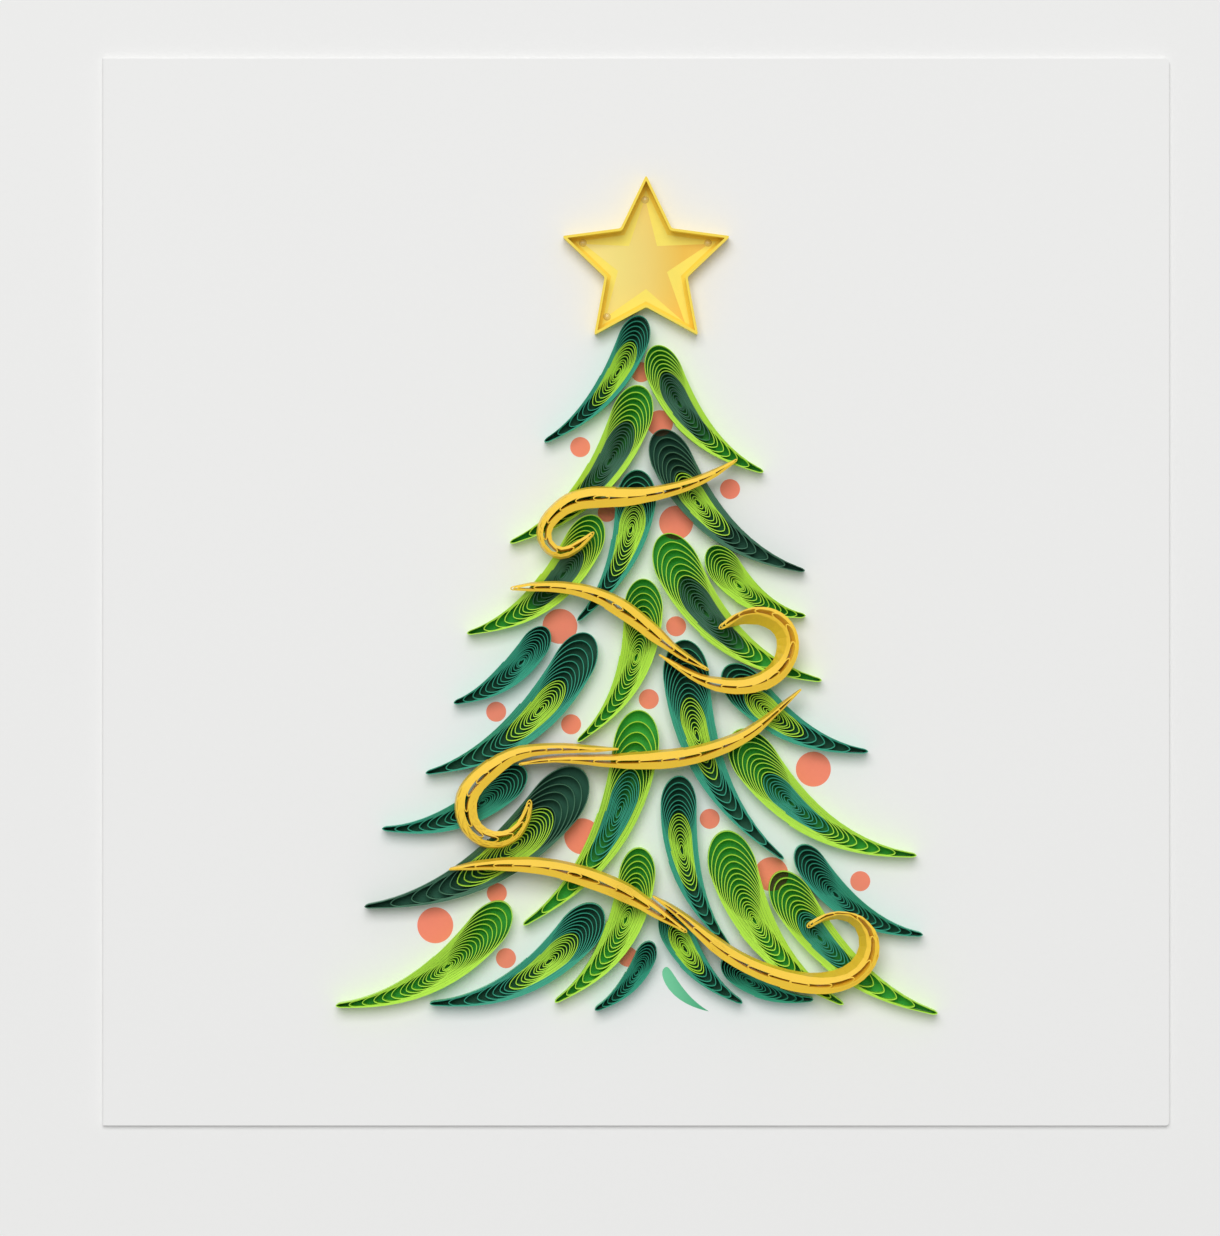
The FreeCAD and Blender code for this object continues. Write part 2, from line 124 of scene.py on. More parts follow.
# Garland routes: x, y and half the band's width, in millimetres.
GARLANDS = {
    "garland_top": [
        (14.4, 18.8, 0.3), (10.0, 16.3, 0.75), (6.0, 14.8, 0.95), (2.0, 13.9, 1.15),
        (-2.0, 13.5, 1.45), (-6.0, 13.4, 1.55), (-9.0, 12.8, 1.4), (-11.5, 11.1, 1.2),
        (-13.0, 8.7, 1.1), (-12.5, 6.6, 0.95), (-10.6, 5.5, 0.85), (-8.5, 6.3, 0.7),
        (-5.9, 8.5, 0.3),
    ],
    "garland_second_stem": [
        (-17.8, 0.45, 0.4), (-14.0, 0.75, 0.75), (-10.0, 0.6, 0.9), (-6.0, -0.3, 1.1),
        (-2.0, -2.3, 1.35), (2.0, -5.3, 1.2), (6.0, -8.5, 0.7), (10.4, -11.1, 0.25),
    ],
    "garland_second_curl": [
        (3.3, -8.9, 0.2), (6.0, -10.6, 0.45), (9.0, -12.3, 0.75), (12.0, -13.2, 1.1),
        (15.0, -13.4, 1.2), (18.0, -12.7, 1.3), (20.4, -10.9, 1.4), (21.6, -8.0, 1.55),
        (21.2, -5.6, 1.5), (19.4, -3.9, 1.45), (17.0, -3.4, 1.25), (14.5, -3.9, 0.85),
        (11.8, -5.2, 0.35),
    ],
    "garland_third_stem": [
        (23.5, -13.8, 0.2), (20.0, -16.9, 0.5), (16.0, -20.1, 0.95), (12.0, -22.0, 1.2),
        (8.0, -23.2, 1.3), (4.0, -23.8, 1.35), (0.0, -24.0, 1.2), (-4.0, -24.0, 0.9),
        (-8.0, -23.8, 0.65), (-12.0, -23.8, 0.45), (-16.6, -24.5, 0.2),
    ],
    "garland_third_curl": [
        (-2.4, -22.3, 0.2), (-6.0, -22.3, 0.5), (-10.0, -22.2, 0.75), (-14.0, -22.4, 0.85),
        (-17.5, -23.2, 1.1), (-20.2, -24.9, 1.4), (-22.5, -26.9, 1.5), (-23.9, -29.0, 1.6),
        (-24.1, -31.2, 1.6), (-23.4, -33.3, 1.5), (-21.7, -34.8, 1.4), (-19.6, -35.2, 1.25),
        (-17.4, -34.5, 1.0), (-15.8, -32.5, 0.75), (-15.0, -29.5, 0.4),
    ],
    "garland_bottom_stem": [
        (-26.5, -39.4, 0.25), (-22.0, -38.8, 0.7), (-18.0, -38.7, 1.0), (-14.0, -38.9, 1.2),
        (-10.0, -39.6, 1.3), (-6.0, -40.8, 1.4), (-2.0, -42.4, 1.35), (2.0, -44.7, 1.0),
        (7.3, -48.3, 0.3),
    ],
    "garland_bottom_curl": [
        (2.4, -43.2, 0.2), (5.5, -45.2, 0.55), (8.5, -47.7, 0.85), (12.0, -50.6, 1.2),
        (16.0, -53.0, 1.25), (20.0, -54.6, 1.35), (24.0, -55.5, 1.4), (28.0, -55.4, 1.5),
        (31.1, -54.1, 1.5), (32.9, -51.8, 1.5), (33.1, -49.3, 1.35), (32.0, -47.2, 1.0),
        (29.6, -46.0, 0.65), (26.8, -46.3, 0.55), (24.3, -47.6, 0.4),
    ],
}

# Printed dots: x, y and radius, in millimetres.
DOTS = (
    (0.8, 31.4, 1.43), (3.5, 24.1, 1.86), (-7.9, 20.7, 1.43), (13.5, 14.7, 1.43),
    (5.8, 9.9, 2.43), (-4.1, 11.3, 1.29), (-10.8, -4.9, 2.50), (5.8, -4.9, 1.43),
    (1.9, -15.3, 1.43), (-19.9, -17.1, 1.43), (-9.2, -18.9, 1.43), (25.4, -25.3, 2.50),
    (-7.6, -34.9, 2.57), (10.6, -32.4, 1.43), (19.4, -40.3, 2.43), (32.1, -41.3, 1.43),
    (-28.6, -47.6, 2.57), (-19.8, -43.0, 1.43), (-18.5, -52.3, 1.43), (-1.1, -52.1, 1.43),
)

# The dots that a leaf's print partly covers, by their number.
COVERED_DOTS = {"leaf_04": 2, "leaf_07": 5, "leaf_20": 15}

# How far the printed leaves lie inside the wound ones, in millimetres.
PRINT_INSET = 0.12

# The small printed leaf with no coil on it: where its head lies, how far its tail lies from that,
# which way its side faces, and half its width and its bow, in millimetres.
SMALL_LEAF_HEAD = (4.1, -53.7)
SMALL_LEAF_RUN = (6.4, -6.2)
SMALL_LEAF_SIDE = (0.72, 0.69)
SMALL_LEAF_HALF = 1.1
SMALL_LEAF_BOW = 1.0
# Where the middle of its grading lies, and how wide that is.
SMALL_LEAF_GRADING = (7.3, 6.5)

# The star: its middle and how far its tips and its notches lie from it, in millimetres.
STAR_MIDDLE = (1.5, 46.75)
STAR_TIP = 12.6
STAR_NOTCH = 6.2

# How far from a tip and from a notch the star's strip starts to bend, outside and inside.
OUTER_BENDS = (0.45 * MM, 0.3 * MM)
INNER_BENDS = (0.12 * MM, 0.4 * MM)

# How far inside the star's line its rim, a deeper yellow band of painted shade along the strip, and
# its field end.
SHADE_BAND_INSET = 0.1 * MM
FIELD_INSET = 0.85 * MM

# Corners of the smaller star printed inside it, and about how wide it is, in millimetres.
INNER_STAR = (
    (1.356885, 56.27502), (3.070845, 49.41918), (10.498005, 49.70484), (4.499145, 45.7056),
    (7.070085, 38.42127), (1.499715, 43.27749), (-4.213485, 39.27825), (-2.499525, 45.84843),
    (-7.355745, 49.70484), (-0.928395, 49.41918),
)
INNER_STAR_WIDTH = 18

# Glue drops in four of the star's tips: x and y, and the size of a drop, in millimetres.
GLUE_DROPS = ((1.36, 56.0), (-7.5, 49.85), (10.35, 49.85), (-4.07, 39.3))
DROP_RADIUS = 0.55
DROP_FLATNESS = 0.35

# How far the feet of the two right-hand curls stand inside their tops, in millimetres.
LEANS = {"garland_second_curl": 1.1, "garland_bottom_curl": 0.7}

# Ink colours that the panel leaves out, the graded ones with their places from left to right. The
# deep green and the star's rim yellow are painted shade.
# Painted shade: the leaf print under coils wound outside with teal or grey-green paper, darkened
# for the shade that those darker walls leave in the gaps.
PAINTED_SHADE_GREEN = "2C6B52"
BROWN = "705E3E"
# Painted shade: the deeper yellow band along the star's strip, for the wall's shadow and the yellow
# light it throws on the field.
STAR_SHADE_YELLOW = "F9D848"
SMALL_LEAF_GRADES = ((0, "7BD3A4"), (1, "3FA878"))
INNER_STAR_GRADES = ((0, "F5EA98"), (0.3, "F3E284"), (0.5, "F2D878"), (0.66, "F0CE64"),
                     (0.8, "EFC452"), (1, "F0CA5C"))


def linear(hex_code):
    """Linear colour of an sRGB hex value."""
    channels = [int(hex_code[i:i + 2], 16) / 255 for i in (0, 2, 4)]
    return tuple(c / 12.92 if c <= 0.04045 else ((c + 0.055) / 1.055) ** 2.4 for c in channels)


def colour_property(name, description, hex_code):
    """A colour that the panel offers."""
    return FloatVectorProperty(name=name, description=description, subtype="COLOR", size=3,
                               min=0, max=1, default=linear(hex_code))


def length_property(name, description, millimetres):
    """A length that the panel offers."""
    return FloatProperty(name=name, description=description, unit="LENGTH", min=0,
                         precision=5, default=millimetres * MM)


class QuillingSettings(bpy.types.PropertyGroup):
    """Sizes and colours of the quilled card."""

    paper: length_property("Paper", "Thickness of a quilling strip", 0.115)
    pitch: length_property("Pitch", "Distance between the garland's turns", 0.14)
    bowl: length_property("Bowl", "How much lower the middle turn of a leaf lies", 1.2)
    crown: length_property("Crown", "How much lower the outer turn of a garland lies", 0.55)
    ink: length_property("Ink", "Height of each printed layer above the card", 0.012)
    star_paper: length_property("Star strip", "Thickness of the star's doubled strip", 0.35)
    lime: colour_property("Lime", "Lime strip", "BAF04A")
    teal: colour_property("Teal", "Teal strip", "37A486")
    forest: colour_property("Forest", "Dark grey-green strip", "42765C")
    yellow: colour_property("Yellow", "Golden yellow strip", "FFD139")
    lemon: colour_property("Lemon", "The star's lemon yellow strip", "FADC40")
    card: colour_property("Card", "White card stock", "F1F1F0")
    coral: colour_property("Coral", "Coral print", "FD8A70")
    mint: colour_property("Mint", "Green leaf print", "46B84C")
    star_field: colour_property("Star field", "Yellow star print", "F9E86A")
    key_power: FloatProperty(name="Key lamp", description="Power of the soft key lamp", min=0,
                             unit="POWER", default=77)
    # Painted light: how much lighter the strips' faces are coloured than their cut edges.
    face_light: FloatProperty(name="Face light", min=0, default=1.4,
                              description="How much brighter the strips' faces are than their cuts")
    fill: FloatProperty(name="Fill", description="Strength of the even light from all round",
                        min=0, default=0.40)


def settings():
    """The sizes and colours that the panel holds."""
    return bpy.context.scene.quilling


# Materials


def add_node(tree, kind, links=(), **values):
    """Adds one node, sets its properties and inputs, and links (input, source socket) pairs."""
    node = tree.nodes.new(kind)
    for key, value in values.items():
        if key in node.bl_rna.properties:
            setattr(node, key, value)
        else:
            node.inputs[key.replace("_", " ")].default_value = value
    for name, socket in links:
        tree.links.new(node.inputs[name], socket)
    return node


def start_material(name, roughness, specular):
    """An empty material with its shader, and its Object coordinates."""
    material = bpy.data.materials.new(name)
    material.use_nodes = True
    tree = material.node_tree
    tree.nodes.clear()
    shader = add_node(tree, "ShaderNodeBsdfPrincipled", Roughness=roughness)
    shader.inputs["Specular IOR Level"].default_value = specular
    add_node(tree, "ShaderNodeOutputMaterial", [("Surface", shader.outputs["BSDF"])])
    place = add_node(tree, "ShaderNodeTexCoord").outputs["Object"]
    return material, tree, shader, place


# How high paper fibres stand.
FIBRE_HEIGHT = 0.02 * MM


def lay_fibres(tree, shader, place, colour, size_mm, spread, tooth=0):
    """Colours a surface a little unevenly, by the size of its fibres, and gives it their tooth."""
    noise = add_node(tree, "ShaderNodeTexNoise", [("Vector", place)], Scale=1 / (size_mm * MM),
                     Detail=3.0, Roughness=0.6)
    mix = add_node(tree, "ShaderNodeMix", [("Factor", noise.outputs["Fac"])], data_type="RGBA")
    mix.inputs["A"].default_value = tuple(c * (1 - spread) for c in colour) + (1,)
    mix.inputs["B"].default_value = tuple(min(1, c * (1 + spread)) for c in colour) + (1,)
    tree.links.new(shader.inputs["Base Color"], mix.outputs["Result"])
    if tooth:
        raised = add_node(tree, "ShaderNodeBump", [("Height", noise.outputs["Fac"])],
                          Strength=tooth, Distance=FIBRE_HEIGHT)
        tree.links.new(shader.inputs["Normal"], raised.outputs["Normal"])


def strip_paper(name, colour, roughness, specular):
    """Quilling paper, dyed through, smooth calendered stock of about 120 g: its cut edges show."""
    material, tree, shader, place = start_material(name, roughness, specular)
    # Fibres of about 0.4 mm, the coarsest that such paper shows.
    lay_fibres(tree, shader, place, colour, 0.4, 0.05, 0.3)
    return material


# The card's tooth of about 0.8 mm, drawn as coarse as it needs to show.
CARD_TOOTH = 0.8


def card_stock(name, colour):
    """Uncoated white card, wood-free, with a faint tooth."""
    material, tree, shader, place = start_material(name, 0.7, 0.3)
    lay_fibres(tree, shader, place, colour, CARD_TOOTH, 0.008, 0.25)
    return material


def ink(name, colour, spread=0.03):
    """Offset ink on uncoated card: flat, matt and slightly mottled by the card's tooth."""
    material, tree, shader, place = start_material(name, 0.65, 0.3)
    lay_fibres(tree, shader, place, colour, CARD_TOOTH, spread)
    return material


def graded_ink(name, grades, centre, width):
    """Ink that changes colour evenly from left to right across a width, in millimetres."""
    material, tree, shader, place = start_material(name, 0.65, 0.3)
    moved = add_node(tree, "ShaderNodeMapping", [("Vector", place)])
    moved.inputs["Location"].default_value = (0.5 - centre / width, 0, 0)
    moved.inputs["Scale"].default_value = (1 / (width * MM), 1, 1)
    across = add_node(tree, "ShaderNodeSeparateXYZ", [("Vector", moved.outputs["Vector"])])
    ramp = add_node(tree, "ShaderNodeValToRGB", [("Fac", across.outputs["X"])])
    elements = ramp.color_ramp.elements
    while len(elements) < len(grades):
        elements.new(0.5)
    for element, (position, hex_code) in zip(elements, grades):
        element.position = position
        element.color = linear(hex_code) + (1,)
    tree.links.new(shader.inputs["Base Color"], ramp.outputs["Color"])
    return material


def dried_glue(name):
    """Dried white craft glue: clear, slightly amber over the print, glossy."""
    material, tree, shader, place = start_material(name, 0.22, 0.5)
    # Mottled about as widely as a drop's radius.
    lay_fibres(tree, shader, place, linear("E2CC74"), 0.6, 0.05)
    return material


PAPERS = {}
PAPER_NAMES = {
    "lime": "Lime quilling paper",
    "teal": "Teal quilling paper",
    "forest": "Grey-green quilling paper",
    "yellow": "Golden quilling paper",
    "lemon": "Lemon quilling paper",
}

# No channel of a strip's face, lightened by painted light, is lighter than this.
LIGHTEST = 0.98


def paper(word):
    """The materials of one strip colour, made once: its smooth faces and its less glossy cut edges;
    the faces' colour is lightened as painted light, standing in for light that falls into the gaps.
    """
    if word not in PAPERS:
        edge = tuple(getattr(settings(), word))
        # Painted light: the faces, seen in the gaps between turns, are coloured lighter than the
        # cut edges to stand in for light that falls and bounces into those gaps.
        lighter = min(settings().face_light, LIGHTEST / max(edge))
        face = tuple(c * lighter for c in edge)
        PAPERS[word] = [strip_paper(PAPER_NAMES[word] + " face", face, 0.42, 0.6),
                        strip_paper(PAPER_NAMES[word] + " cut edge", edge, 0.5, 0.45)]
    return PAPERS[word]


# Modelling

# Points nearer than this are one point, in metres.
SAME_POINT = 1e-7


def deselect():
    """Leaves edit mode and selects nothing."""
    if bpy.context.mode != "OBJECT":
        bpy.ops.object.mode_set(mode="OBJECT")
    bpy.ops.object.select_all(action="DESELECT")


def finished(piece, name, materials, body="root"):
    """Names a piece, gives it its place in its mesh, its materials and the body it rides on."""
    piece.name = name
    piece.data.name = name
    bpy.ops.object.mode_set(mode="OBJECT")
    bpy.ops.object.transform_apply(location=True, rotation=True, scale=True)
    for material in materials:
        piece.data.materials.append(material)
    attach(piece, body)
    return piece


def flat_shape(name, outline, foot, thick, material):
    """A thin shape on the card: a disc whose rim is drawn out to the outline, then thickened."""
    deselect()
    bpy.ops.mesh.primitive_circle_add(vertices=len(outline), radius=1, fill_type="NOTHING")
    piece = bpy.context.object
    for vertex, (x, y) in zip(piece.data.vertices, outline):
        vertex.co = (x, y, foot)
    bpy.ops.object.mode_set(mode="EDIT")
    bpy.ops.mesh.select_all(action="SELECT")
    bpy.ops.mesh.edge_face_add()
    bpy.ops.mesh.extrude_region_move(TRANSFORM_OT_translate={"value": (0, 0, thick)})
    bpy.ops.mesh.select_all(action="SELECT")
    bpy.ops.mesh.normals_make_consistent(inside=False)
    return finished(piece, name, [material])


def strip_on_edge(name, stations, materials, closed=False):
    """A strip of paper on edge: a long grid wrapped into a flat tube and laid along its winding.

    A station is the strip's outer face point, inner face point, foot, the tops of both faces, the
    number of its paper and how far aside its foot stands.
    """
    deselect()
    last = len(stations) - 1
    # The grid's rows become the outer face, the cut top edge, the inner face and the foot.
    rows = 4
    cut_row = 1
    bpy.ops.mesh.primitive_grid_add(x_subdivisions=last, y_subdivisions=rows, size=2)
    piece = bpy.context.object
    mesh = piece.data
    coordinates = []
    for vertex in mesh.vertices:
        column = round((vertex.co.x + 1) / 2 * last)
        row = round((vertex.co.y + 1) / 2 * rows)
        outer, inner, foot, outer_top, inner_top, number, lean = stations[column]
        corner = ((outer, foot), (outer, outer_top), (inner, inner_top), (inner, foot),
                  (outer, foot))[row]
        shift = lean if corner[1] == foot else (0, 0)
        coordinates += [corner[0][0] + shift[0], corner[0][1] + shift[1], corner[1]]
    numbers = []
    for face in mesh.polygons:
        column = int((face.center.x + 1) / 2 * last)
        row = int((face.center.y + 1) / 2 * rows)
        numbers.append(2 * stations[column][5] + (1 if row == cut_row else 0))
    mesh.vertices.foreach_set("co", coordinates)
    mesh.polygons.foreach_set("material_index", numbers)
    mesh.update()
    bpy.ops.object.mode_set(mode="EDIT")
    bpy.ops.mesh.select_all(action="SELECT")
    bpy.ops.mesh.remove_doubles(threshold=SAME_POINT)
    if not closed:
        bpy.ops.mesh.select_all(action="DESELECT")
        bpy.ops.mesh.select_non_manifold()
        bpy.ops.mesh.fill_holes(sides=4)
    bpy.ops.mesh.select_all(action="SELECT")
    bpy.ops.mesh.normals_make_consistent(inside=False)
    return finished(piece, name, materials)


# Windings, in millimetres

# The most of a leaf's pitch that its strip fills.
THICKEST = 0.8


def shares(count, ratio):
    """Where each of a number of turns starts, from 0 to 1, each pitch the ratio times the last."""
    steps = [ratio ** i for i in range(count)]
    return [sum(steps[:i]) / sum(steps) for i in range(count)]


def two_shares(outer_turns, outer_ratio, inner_turns, inner_ratio, split):
    """Where each turn starts when the outer paper takes the part up to the split."""
    outer = [split * share for share in shares(outer_turns, outer_ratio)]
    return outer + [split + (1 - split) * share for share in shares(inner_turns, inner_ratio)]


def stretch(marks, place):
    """The number of the stretch between two marks that a place lies in, and its part of it."""
    i = max(0, min(len(marks) - 2, bisect_left(marks, place) - 1))
    return i, (place - marks[i]) / (marks[i + 1] - marks[i])


class Coil:
    """A strip wound into a long coil about a bowed middle line.

    heads and tails are how far down the middle line each turn bends round at either end, and
    offset is half the width of a turn there.
    """

    # How many half widths long a turn's tail is, and how pointed.
    tail_aspect = 2.7
    tail_point = 1.2
    head_stations = 22
    tail_stations = 16
    side_stations = 12
    # The part of the first turn's length that its first side leaves out.
    late = 0.45
    # How many turns are wound, from a turn's number, where its left side, tail, right side and
    # head start and where its head ends. The strip's outer end starts a little later.
    strip_start = -0.3
    left_start = -0.4
    tail_start = -0.15
    right_start = 0.15
    head_start = 0.35
    head_end = 0.6

    def head_aspect(self, turn):
        """How many half widths long the round head of a turn is."""
        return 1.6 + 0.5 * min(1, turn / 4)

    def foot_shift(self, down):
        """How far the strip's foot stands from its top, in metres."""
        return 0, 0

    def side(self, start, end, begun, done, aside):
        """Points between the ends of one side of a turn, which winds on from begun to done."""
        points = []
        for k in range(1, self.side_stations):
            part = k / self.side_stations
            down = start + (end - start) * part
            turn = begun + (done - begun) * part
            points.append((down, aside * self.offset(down, turn), turn))
        return points

    def winding(self):
        """Points (down, aside, turn) from the outer end of the strip to the inner one."""
        points = []
        for i, (head, tail) in enumerate(zip(self.heads, self.tails)):
            room = tail - head
            # A cap's length goes with the turn's width where it starts: found in two goes.
            tail_cap = 0.8
            head_cap = 0
            for again in range(2):
                reach = self.offset(tail - tail_cap, i)
                tail_cap = min(self.tail_aspect * reach, room / 2)
                width = self.offset(head + head_cap, i + 0.5)
                head_cap = min(self.head_aspect(i) * width, room / 2)
            if points:
                start = points[-1][0]
                begun = i + self.left_start
            else:
                start = head + self.late * room
                begun = self.strip_start
                points.append((start, -self.offset(start, begun), begun))
            points += self.side(start, tail - tail_cap, begun, i + self.tail_start, -1)
            for k in range(self.tail_stations + 1):
                part = k / self.tail_stations
                angle = math.pi * (part - 0.5)
                turn = i + self.tail_start + (self.right_start - self.tail_start) * part
                down = tail - tail_cap * (1 - math.cos(angle))
                side = math.copysign(abs(math.sin(angle)) ** self.tail_point, angle)
                points.append((down, side * self.offset(tail - tail_cap, turn), turn))
            points += self.side(tail - tail_cap, head + head_cap, i + self.right_start,
                                i + self.head_start, 1)
            for k in range(self.head_stations + 1):
                part = k / self.head_stations
                angle = math.pi * (0.5 - part)
                turn = i + self.head_start + (self.head_end - self.head_start) * part
                down = head + head_cap * (1 - math.cos(angle))
                points.append((down, math.sin(angle) * self.offset(head + head_cap, turn), turn))
        return points

    def stations(self, foot, top, slant, thick):
        """Stations of the strip for strip_on_edge, in metres.

        slant gives how far below the top both faces end, by the share of the turns wound.
        """
        points = self.winding()
        flat = [self.place(down, aside) for down, aside, turn in points]
        made = []
        for i, (x, y) in enumerate(flat):
            before = flat[max(0, i - 1)]
            after = flat[min(len(flat) - 1, i + 1)]
            run = math.dist(before, after)
            normal = (-(after[1] - before[1]) / run, (after[0] - before[0]) / run)
            down, aside, turn = points[i]
            outer_drop, inner_drop = slant(turn / len(self.heads))
            outer = (x * MM, y * MM)
            inner = ((x + normal[0] * thick) * MM, (y + normal[1] * thick) * MM)
            made.append((outer, inner, foot, top - outer_drop, top - inner_drop,
                         0 if turn < self.change else 1, self.foot_shift(down)))
        return made


class LeafCoil(Coil):
    """A coil pinched at one end into a bowed teardrop."""

    # Half the width of the tail, and where along the chord the middle line bends most.
    tail_half = 0.3
    bend = 0.54
    line_steps = 60
    # What the innermost turn leaves open: half its width, and its room towards head and tail.
    open_half = 0.17
    head_gap = 0.25
    tail_gap = 0.35
    # Half the least width of a turn.
    least_half = 0.08
    # Each turn's pitch as a part of the last one's, at head and tail: of the outer paper, of
    # the inner one, and of one paper alone.
    outer_closing = (0.94, 0.8)
    inner_closing = (1, 0.92)
    lone_closing = (0.935, 0.9)
    # How far a turn's ends and, in turns, its sides lie from even, and how fast that changes.
    uneven_head = 0.07
    uneven_tail = 0.112
    uneven_side = 0.1
    end_change = 1.9
    side_change = 2.4
    # The outermost turns lie this much closer than the innermost.
    packing = 0.25

    def __init__(self, name):
        head_x, head_y, tail_x, tail_y, width, bow, full = LEAF_SIZES[name]
        (outer, inner, outer_turns, inner_turns, middle, head_share,
         tail_share) = LEAF_PAPERS[name]
        self.width = width
        self.full = full
        self.chord = math.hypot(tail_x - head_x, tail_y - head_y)
        self.bow = bow if tail_x < head_x else -bow
        self.head = (head_x, head_y)
        angle = math.atan2(tail_x - head_x, head_y - tail_y)
        self.turn = (math.cos(angle), math.sin(angle))
        line = [self.middle_line(i / self.line_steps) for i in range(self.line_steps + 1)]
        self.lengths = [0]
        for before, after in zip(line, line[1:]):
            self.lengths.append(self.lengths[-1] + math.dist(before, after))
        self.length = self.lengths[-1]
        self.turns = outer_turns + inner_turns
        self.pitch = (self.half_width(middle * self.length) - self.open_half) / self.turns
        # The inner paper is joined on along a left side.
        self.change = outer_turns + 0.7
        head_room = middle * self.length - self.head_gap
        tail_room = (1 - middle) * self.length - self.tail_gap
        if inner_turns:
            heads, tails = (
                two_shares(outer_turns, outer_ratio, inner_turns, inner_ratio, split)
                for outer_ratio, inner_ratio, split in zip(
                    self.outer_closing, self.inner_closing, (head_share, tail_share)))
        else:
            heads, tails = (shares(outer_turns, ratio) for ratio in self.lone_closing)
        self.heads = [share * head_room + self.uneven_head * self.waver(i)
                      for i, share in enumerate(heads)]
        self.tails = [self.length - share * tail_room - self.uneven_tail * self.waver(i + 3)
                      for i, share in enumerate(tails)]

    def waver(self, turn):
        """How uneven a turn's end is, from -1 to 1; the first ones are even."""
        return math.sin(self.end_change * turn + self.chord) if turn > 3 else 0

    def offset(self, down, turn):
        """Half the width of a turn: outer turns lie closer than inner ones, none quite evenly."""
        uneven = turn + self.uneven_side * math.sin(self.side_change * turn + self.chord)
        packed = self.pitch * uneven * (1 - self.packing * (1 - turn / self.turns))
        return max(self.least_half, self.half_width(down) - packed)

    def middle_line(self, u):
        """A point of the middle line, a parabola that bends most at its bend place."""
        x = 4 * self.bow * u * (1 - u)
        y = -self.chord * (2 * self.bend * u * (1 - u) + u * u)
        return x, y

    def half_width(self, down):
        """Half the leaf's width at a way down its middle line, past the round head."""
        u = (down / self.length - self.full) / (1 - self.full)
        taper = (1 - max(0, u) ** 2) ** 1.5 if u < 1 else 0
        return self.tail_half + (self.width / 2 - self.tail_half) * taper

    def place(self, down, aside):
        """The point on the card this far down the middle line and this far aside from it."""
        i, part = stretch(self.lengths, down)
        start = self.middle_line(i / self.line_steps)
        end = self.middle_line((i + 1) / self.line_steps)
        run = math.dist(start, end)
        along = ((end[0] - start[0]) / run, (end[1] - start[1]) / run)
        x = start[0] + (end[0] - start[0]) * part - along[1] * aside
        y = start[1] + (end[1] - start[1]) * part + along[0] * aside
        return (self.head[0] + x * self.turn[0] - y * self.turn[1],
                self.head[1] + x * self.turn[1] + y * self.turn[0])

    def outline(self, inset):
        """The leaf's outer form, moved inwards by an inset: half a round head, then the taper."""
        side = []
        cap = 0.8 * self.width
        for degrees in range(0, 90, 10):
            angle = math.radians(degrees)
            down = cap * (1 - math.cos(angle))
            side.append((inset + down, (self.half_width(down) - inset) * math.sin(angle)))
        start = 1.05 * cap
        steps = 12
        for i in range(steps + 1):
            down = start + (self.length - start - inset) * i / steps
            side.append((down, max(0.05, self.half_width(down) - inset)))
        right = [self.place(down, aside) for down, aside in side]
        left = [self.place(down, -aside) for down, aside in reversed(side[1:])]
        return [(x * MM, y * MM) for x, y in right + left]


